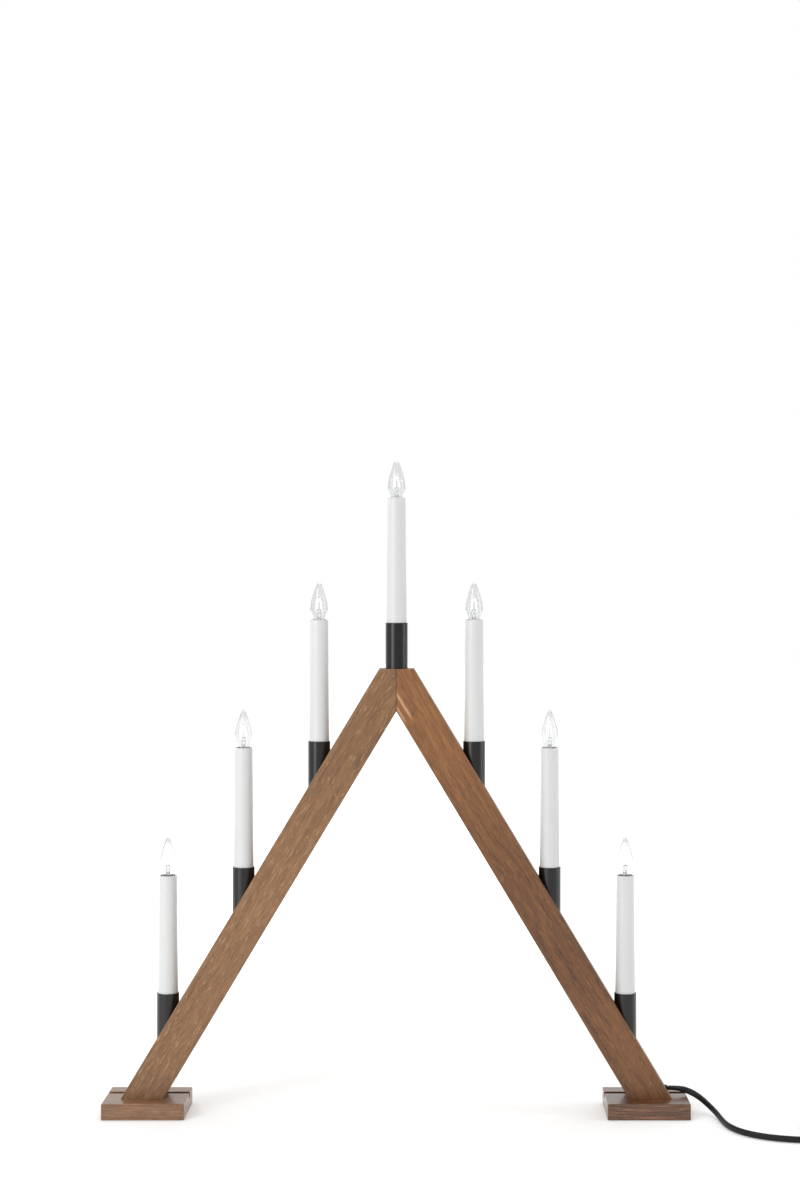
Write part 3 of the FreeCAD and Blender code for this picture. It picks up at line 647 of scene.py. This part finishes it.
def cord_section():
    """Two round cores side by side in one sheath, as a closed outline."""
    shape = bpy.data.curves.new("cord_section", "CURVE")
    shape.dimensions = "2D"
    spline = shape.splines.new("POLY")
    core = CORD_THICKNESS / 2
    apart = CORD_WIDTH / 2 - core
    points = []
    for side, start in ((1, -90), (-1, 90)):
        for angle in range(start, start + 181, CORE_ARC_STEP):
            a = math.radians(angle)
            points.append((side * apart + core * math.cos(a), core * math.sin(a)))
        points.append((0.0, side * core * CORD_WAIST))
    spline.points.add(len(points) - 1)
    for control, (x, y) in zip(spline.points, points):
        control.co = (x * MM, y * MM, 0.0, 1.0)
    spline.use_cyclic_u = True
    holder = bpy.data.objects.new("cord_section", shape)
    bpy.context.scene.collection.objects.link(holder)
    return holder


def add_lead(finishes):
    points = list(CORD_ROUTE) + coil_route()
    line = bpy.data.curves.new("lead_line", "CURVE")
    cord_spline(line, points)
    middle = solid_of(line)
    bpy.data.meshes.remove(middle)
    section = cord_section()
    sheath = bpy.data.curves.new("lead_sheath", "CURVE")
    cord_spline(sheath, points)
    sheath.bevel_mode = "OBJECT"
    sheath.bevel_object = section
    sheath.use_fill_caps = True
    mesh = solid_of(sheath)
    bpy.data.objects.remove(section)
    lead = mesh_piece("mains_lead", mesh, finishes["sheath"], "arch")
    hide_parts("cord_lead", "cord_coil")


# ---- The solids' finishes ----
def dress(node, finish):
    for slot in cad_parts[node].material_slots:
        slot.link = "OBJECT"
        slot.material = finish


def dress_solids(finishes):
    dress("left_beam", finishes["left_wood"])
    dress("right_beam", finishes["right_wood"])
    dress("left_cover_strip", finishes["left_wood"])
    dress("right_cover_strip", finishes["right_wood"])
    dress("left_foot", finishes["left_foot"])
    dress("right_foot", finishes["right_foot"])
    dress("mitre_dowels", finishes["dowel"])
    dress("foot_screws", finishes["zinc"])
    dress("cup_nipples", finishes["zinc"])
    dress("holder_screw_shells", finishes["brass"])
    dress("holder_contacts", finishes["brass"])
    dress("holder_bodies", finishes["holder"])
    dress("sleeve_spigots", finishes["holder"])
    dress("series_wires", finishes["insulation"])
    dress("inner_cord", finishes["sheath"])
    dress("cord_bush", finishes["sheath"])
    dress("plug_body", finishes["sheath"])
    dress("plug_pins", finishes["pin"])
    for name in CANDLES:
        dress("cup_" + name, finishes["cup"])
        dress("sleeve_" + name, finishes["sleeve"])
        dress("bulb_" + name + "_contact", finishes["solder"])


# ---- Studio: metres and watts ----
CAMERA_PLACE = (0.042, -1.779, 0.462)
CAMERA_LENS = 61.87
CAMERA_SHIFT = (-0.0378, -0.0212)
FLOOR_RADIUS = 9.0
FLOOR_STEPS = 96
FLOOR_DROP = 0.0003  # under the feet, so that no two faces coincide
GLOW_AWAY = (320.0, 900.0)  # millimetres from the middle, between which the floor's glow grows
GLOW_BEHIND = (-500.0, 500.0)  # millimetres from front to back, the same
SOFTBOXES = (  # name, place, target, width, height, power
    ("key_light", (-1.42, -1.56, 0.95), (0.0, 0.0, 0.25), 0.8, 1.9, 21.0),
    ("side_light", (2.0, -0.15, 0.7), (0.0, 0.0, 0.25), 0.35, 1.4, 7.0),
    ("top_light", (0.0, 0.3, 2.4), (0.0, 0.0, 0.0), 3.0, 2.4, 29.0),
)
BACKDROP = ((0.3, 0.46), (0.6, 0.46), (0.85, 0.52), (0.95, 1.0))  # share of the way from front to back, grey


def add_camera():
    camera = bpy.data.cameras.new("camera")
    camera.lens = CAMERA_LENS
    camera.shift_x, camera.shift_y = CAMERA_SHIFT
    camera.clip_start = 0.01
    camera.clip_end = 50.0
    holder = bpy.data.objects.new("camera", camera)
    holder.location = CAMERA_PLACE
    holder.rotation_euler = (math.radians(90.0), 0.0, 0.0)
    bpy.context.scene.collection.objects.link(holder)
    bpy.context.scene.camera = holder


def add_floor():
    """A white floor that glows a little, and more far behind, so that it ends in white."""
    shape = bmesh.new()
    bmesh.ops.create_circle(shape, cap_ends=True, segments=FLOOR_STEPS, radius=FLOOR_RADIUS)
    bmesh.ops.translate(shape, verts=shape.verts, vec=(0.0, 0.0, -FLOOR_DROP))
    mesh = bpy.data.meshes.new("floor")
    shape.to_mesh(mesh)
    shape.free()
    floor = bpy.data.objects.new("floor", mesh)
    bpy.context.scene.collection.objects.link(floor)
    paint = Paint("floor")
    x, y, _ = paint.place()
    away = (x * x + y * y) ** 0.5
    far = paint.between(away, *GLOW_AWAY) * paint.between(y, *GLOW_BEHIND)
    glow = paint.blend(far, (0.16, 0.16, 0.16, 1.0), (0.7, 0.7, 0.7, 1.0))
    white = (0.93, 0.93, 0.925, 1.0)
    finish = paint.coat(Base_Color=white, Roughness=0.85, Emission_Color=glow, Emission_Strength=1.0)
    mesh.materials.append(finish)


def add_softbox(name, place, target, width, height, power):
    lamp = bpy.data.lights.new(name, "AREA")
    lamp.shape = "RECTANGLE"
    lamp.size = width
    lamp.size_y = height
    lamp.energy = power
    holder = bpy.data.objects.new(name, lamp)
    holder.location = place
    aim = Vector(target) - Vector(place)
    holder.rotation_euler = aim.to_track_quat("-Z", "Y").to_euler()
    bpy.context.scene.collection.objects.link(holder)


def add_world():
    """A white backdrop behind, and pale grey all round."""
    world = bpy.data.worlds.new("studio")
    bpy.context.scene.world = world
    world.use_nodes = True
    tree = world.node_tree
    tree.nodes.clear()
    place = tree.nodes.new("ShaderNodeTexCoord")
    split = tree.nodes.new("ShaderNodeSeparateXYZ")
    share = tree.nodes.new("ShaderNodeMapRange")
    share.inputs["From Min"].default_value = -1.0
    shade = tree.nodes.new("ShaderNodeValToRGB")
    shade.color_ramp.interpolation = "EASE"
    for share_back, _ in BACKDROP[1:-1]:
        shade.color_ramp.elements.new(share_back)
    for element, (share_back, grey) in zip(shade.color_ramp.elements, BACKDROP):
        element.position = share_back
        element.color = (grey, grey, grey, 1.0)
    light = tree.nodes.new("ShaderNodeBackground")
    end = tree.nodes.new("ShaderNodeOutputWorld")
    tree.links.new(place.outputs["Generated"], split.inputs[0])
    tree.links.new(split.outputs["Y"], share.inputs["Value"])
    tree.links.new(share.outputs[0], shade.inputs[0])
    tree.links.new(shade.outputs[0], light.inputs["Color"])
    tree.links.new(light.outputs[0], end.inputs[0])


def main():
    bpy.context.scene.view_settings.view_transform = "Standard"
    add_camera()
    add_floor()
    add_world()
    for softbox in SOFTBOXES:
        add_softbox(*softbox)
    brown = (rgb(82, 52, 30), rgb(143, 103, 66), rgb(192, 153, 110))
    foot_brown = (rgb(72, 45, 28), rgb(137, 99, 66), rgb(194, 154, 114))
    red_brown = (rgb(70, 40, 18), rgb(137, 89, 47), rgb(184, 132, 76))
    finishes = {
        "left_wood": beam_wood("left_beam_wood", -1, 2.3, *brown, left_tone, 0.6),
        "right_wood": beam_wood("right_beam_wood", 1, 7.1, *red_brown, right_tone, 0.35, right_marks),
        "left_foot": foot_wood("left_foot_wood", 4.4, *foot_brown, -0.05, 0.5),
        "right_foot": foot_wood("right_foot_wood", 9.7, *red_brown, -0.34, 0.7),
        "dowel": plain_plastic("dowel_wood", (0.42, 0.28, 0.15), (0.5, 0.35, 0.2), 0.6),
        "cup": powder_coat("cup_black"),
        "sleeve": white_plastic("sleeve_white"),
        "holder": plain_plastic("holder_plastic", (0.7, 0.69, 0.64), (0.76, 0.75, 0.71), 0.45),
        "sheath": plain_plastic("cord_sheath", (0.004, 0.004, 0.0043), (0.007, 0.007, 0.0073), 0.5, 0.3),
        "insulation": plain_plastic("wire_insulation", (0.28, 0.18, 0.1), (0.34, 0.22, 0.12), 0.5),
        "dark_glass": plain_plastic("cap_insulator", (0.01, 0.01, 0.012), (0.02, 0.02, 0.024), 0.15),
        "cement": plain_plastic("cap_cement", (0.8, 0.79, 0.76), (0.88, 0.87, 0.84), 0.7),
        "zinc": bare_metal("zinc_plate", (0.5, 0.5, 0.48), (0.66, 0.66, 0.64), 0.38),
        "wire": bare_metal("support_wire", (0.74, 0.73, 0.7), (0.86, 0.85, 0.82), 0.35),
        "pin": bare_metal("pin_nickel", (0.6, 0.58, 0.54), (0.72, 0.7, 0.66), 0.22),
        "solder": bare_metal("solder", (0.4, 0.4, 0.4), (0.55, 0.55, 0.56), 0.45),
        "brass": bare_metal("cap_brass", (0.62, 0.45, 0.2), (0.74, 0.56, 0.28), 0.27),
        "glass": lamp_glass(),
        "filament": hot_wire(),
    }
    dress_solids(finishes)
    add_lamps(finishes)
    add_lead(finishes)


main()
